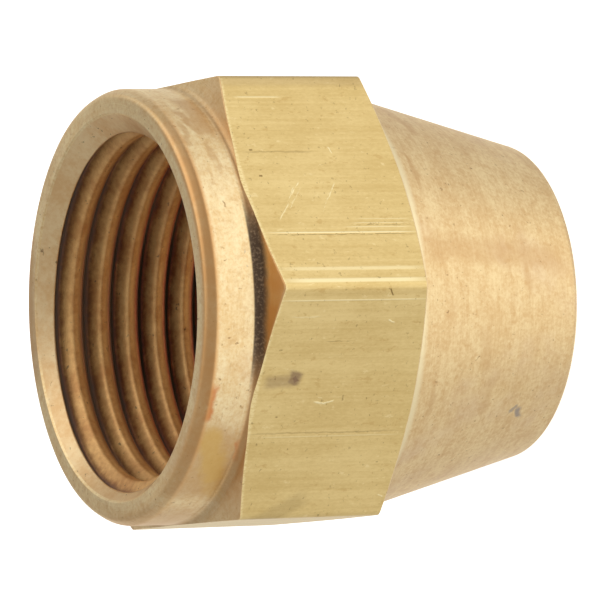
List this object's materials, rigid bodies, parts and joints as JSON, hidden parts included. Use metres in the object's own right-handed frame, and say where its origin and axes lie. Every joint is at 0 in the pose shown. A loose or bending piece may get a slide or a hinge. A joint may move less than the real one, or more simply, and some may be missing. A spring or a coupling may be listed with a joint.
{
  "type": "short flare nut",
  "caption": "Short hexagonal brass nut with a threaded mouth, turned collar and conical nose, for holding a flared tube on a fitting.",
  "frame": {"origin": "centre of the small end of the nose, which the nut stands on", "axes": "+Z along the nut's axis, out of the threaded mouth; +X through a corner of the hexagon; flats face +Y and -Y"},
  "size_m": [0.0256, 0.0222, 0.0225],
  "materials": {
    "brass": "machined"
  },
  "bodies": {
    "root": {"flare_nut": "brass"}
  },
  "joints": []
}
